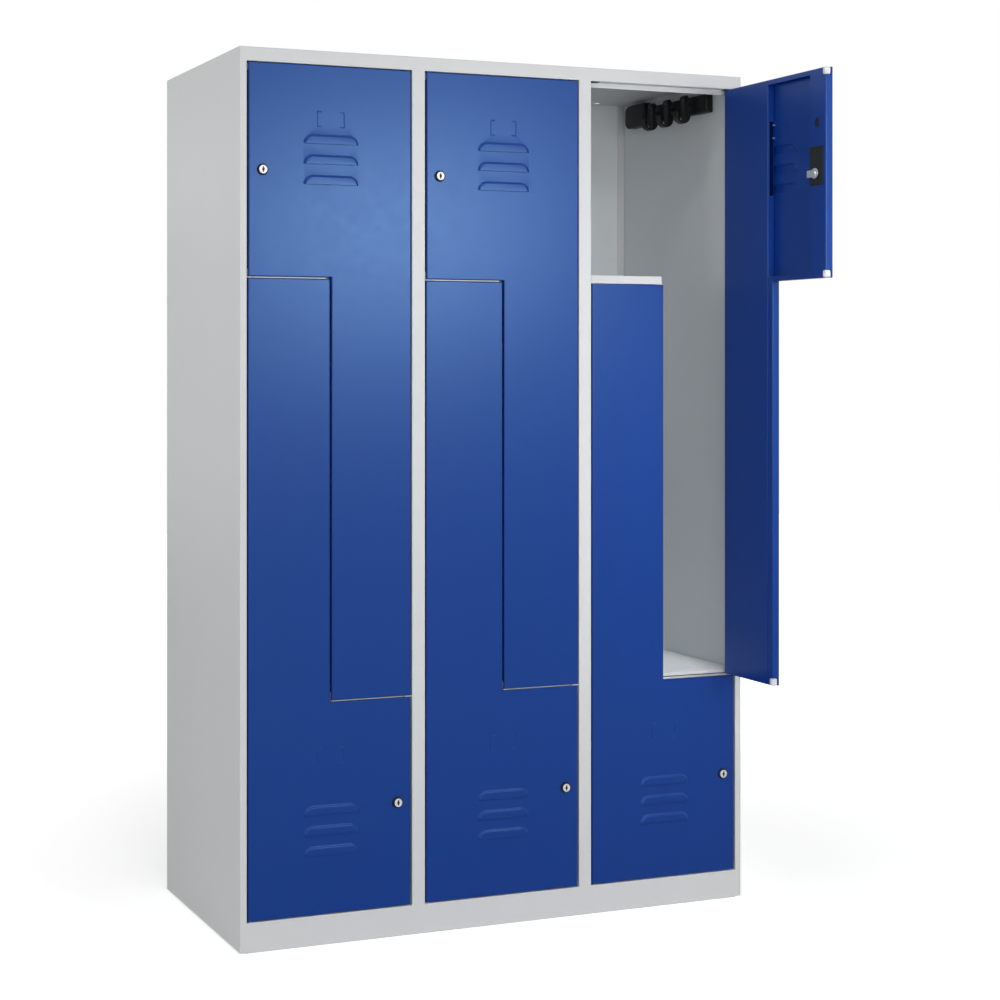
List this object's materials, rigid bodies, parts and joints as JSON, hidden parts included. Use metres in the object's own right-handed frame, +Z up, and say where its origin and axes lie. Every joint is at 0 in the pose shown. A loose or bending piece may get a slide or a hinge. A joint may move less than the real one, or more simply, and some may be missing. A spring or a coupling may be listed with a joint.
{
  "type": "z locker",
  "caption": "Steel cloakroom locker with interlocking Z-shaped doors, each with a hanging leg, a shelf space, louvres, a turning lock and a hook rail.",
  "frame": {"origin": "on the floor, in the middle of the front plinth's foot", "axes": "+Z up, +Y from the doors to the back, +X to the right seen from the front"},
  "size_m": [1.2, 0.8511, 1.85],
  "materials": {
    "light_grey_steel": "light grey powder coat, fine texture, satin",
    "blue_steel": "gentian blue powder coat, fine texture, satin",
    "black_plastic": "moulded, satin",
    "white_plastic": "moulded, satin",
    "zinc_steel": "bright zinc plating",
    "chrome": "polished"
  },
  "bodies": {
    "carcass": {"side_panel_left": "light_grey_steel", "side_panel_right": "light_grey_steel", "top_panel": "light_grey_steel", "back_panel": "light_grey_steel", "floor_panel": "light_grey_steel", "plinth_front": "light_grey_steel", "plinth_rear": "light_grey_steel", "front_post_1": "light_grey_steel", "front_post_2": "light_grey_steel", "partition_1": "light_grey_steel", "partition_2": "light_grey_steel", "z_division_1": "light_grey_steel", "z_division_2": "light_grey_steel", "z_division_3": "light_grey_steel", "hook_rail_1_upper": "black_plastic", "hook_rail_2_upper": "black_plastic", "hook_rail_3_upper": "black_plastic", "hook_rail_1_lower": "black_plastic", "hook_rail_2_lower": "black_plastic", "hook_rail_3_lower": "black_plastic"},
    "door_1_upper": {"door_leaf_1_upper": "blue_steel", "door_stiffener_1_upper": "blue_steel", "corner_bumper_1_upper": "white_plastic", "lock_case_1_upper": "black_plastic"},
    "lock_1_upper": {"lock_core_1_upper": "chrome", "lock_cam_1_upper": "zinc_steel"},
    "door_1_lower": {"door_leaf_1_lower": "blue_steel", "door_stiffener_1_lower": "blue_steel", "corner_bumper_1_lower": "white_plastic", "lock_case_1_lower": "black_plastic"},
    "lock_1_lower": {"lock_core_1_lower": "chrome", "lock_cam_1_lower": "zinc_steel"},
    "door_2_upper": {"door_leaf_2_upper": "blue_steel", "door_stiffener_2_upper": "blue_steel", "corner_bumper_2_upper": "white_plastic", "lock_case_2_upper": "black_plastic"},
    "lock_2_upper": {"lock_core_2_upper": "chrome", "lock_cam_2_upper": "zinc_steel"},
    "door_2_lower": {"door_leaf_2_lower": "blue_steel", "door_stiffener_2_lower": "blue_steel", "corner_bumper_2_lower": "white_plastic", "lock_case_2_lower": "black_plastic"},
    "lock_2_lower": {"lock_core_2_lower": "chrome", "lock_cam_2_lower": "zinc_steel"},
    "door_3_upper": {"door_leaf_3_upper": "blue_steel", "door_stiffener_3_upper": "blue_steel", "corner_bumper_3_upper": "white_plastic", "lock_case_3_upper": "black_plastic"},
    "lock_3_upper": {"lock_core_3_upper": "chrome", "lock_cam_3_upper": "zinc_steel"},
    "door_3_lower": {"door_leaf_3_lower": "blue_steel", "door_stiffener_3_lower": "blue_steel", "corner_bumper_3_lower": "white_plastic", "lock_case_3_lower": "black_plastic"},
    "lock_3_lower": {"lock_core_3_lower": "chrome", "lock_cam_3_lower": "zinc_steel"}
  },
  "joints": [
    {"name": "door_1_upper_hinge", "type": "hinge", "parent": "carcass", "child": "door_1_upper", "pos_m": [-0.2239, -0.003, 1.2], "axis": [0, 0, 1], "range_deg": [0, 90]},
    {"name": "lock_1_upper_turn", "type": "hinge", "parent": "door_1_upper", "child": "lock_1_upper", "pos_m": [-0.551, -0.009, 1.6], "axis": [0, 1, 0], "range_deg": [0, 180]},
    {"name": "door_1_lower_hinge", "type": "hinge", "parent": "carcass", "child": "door_1_lower", "pos_m": [-0.5761, -0.003, 0.7], "axis": [0, 0, -1], "range_deg": [0, 90]},
    {"name": "lock_1_lower_turn", "type": "hinge", "parent": "door_1_lower", "child": "lock_1_lower", "pos_m": [-0.249, -0.009, 0.2817], "axis": [0, 1, 0], "range_deg": [0, 180]},
    {"name": "door_2_upper_hinge", "type": "hinge", "parent": "carcass", "child": "door_2_upper", "pos_m": [0.1761, -0.003, 1.2], "axis": [0, 0, 1], "range_deg": [0, 90]},
    {"name": "lock_2_upper_turn", "type": "hinge", "parent": "door_2_upper", "child": "lock_2_upper", "pos_m": [-0.151, -0.009, 1.6], "axis": [0, 1, 0], "range_deg": [0, 180]},
    {"name": "door_2_lower_hinge", "type": "hinge", "parent": "carcass", "child": "door_2_lower", "pos_m": [-0.1761, -0.003, 0.7], "axis": [0, 0, -1], "range_deg": [0, 90]},
    {"name": "lock_2_lower_turn", "type": "hinge", "parent": "door_2_lower", "child": "lock_2_lower", "pos_m": [0.151, -0.009, 0.2817], "axis": [0, 1, 0], "range_deg": [0, 180]},
    {"name": "door_3_upper_hinge", "type": "hinge", "parent": "carcass", "child": "door_3_upper", "pos_m": [0.5761, -0.003, 1.2], "axis": [0, 0, 1], "range_deg": [-90, 0]},
    {"name": "lock_3_upper_turn", "type": "hinge", "parent": "door_3_upper", "child": "lock_3_upper", "pos_m": [0.5761, -0.3301, 1.6], "axis": [-1, 0, 0], "range_deg": [0, 180]},
    {"name": "door_3_lower_hinge", "type": "hinge", "parent": "carcass", "child": "door_3_lower", "pos_m": [0.2239, -0.003, 0.7], "axis": [0, 0, -1], "range_deg": [0, 90]},
    {"name": "lock_3_lower_turn", "type": "hinge", "parent": "door_3_lower", "child": "lock_3_lower", "pos_m": [0.551, -0.009, 0.2817], "axis": [0, 1, 0], "range_deg": [0, 180]}
  ]
}
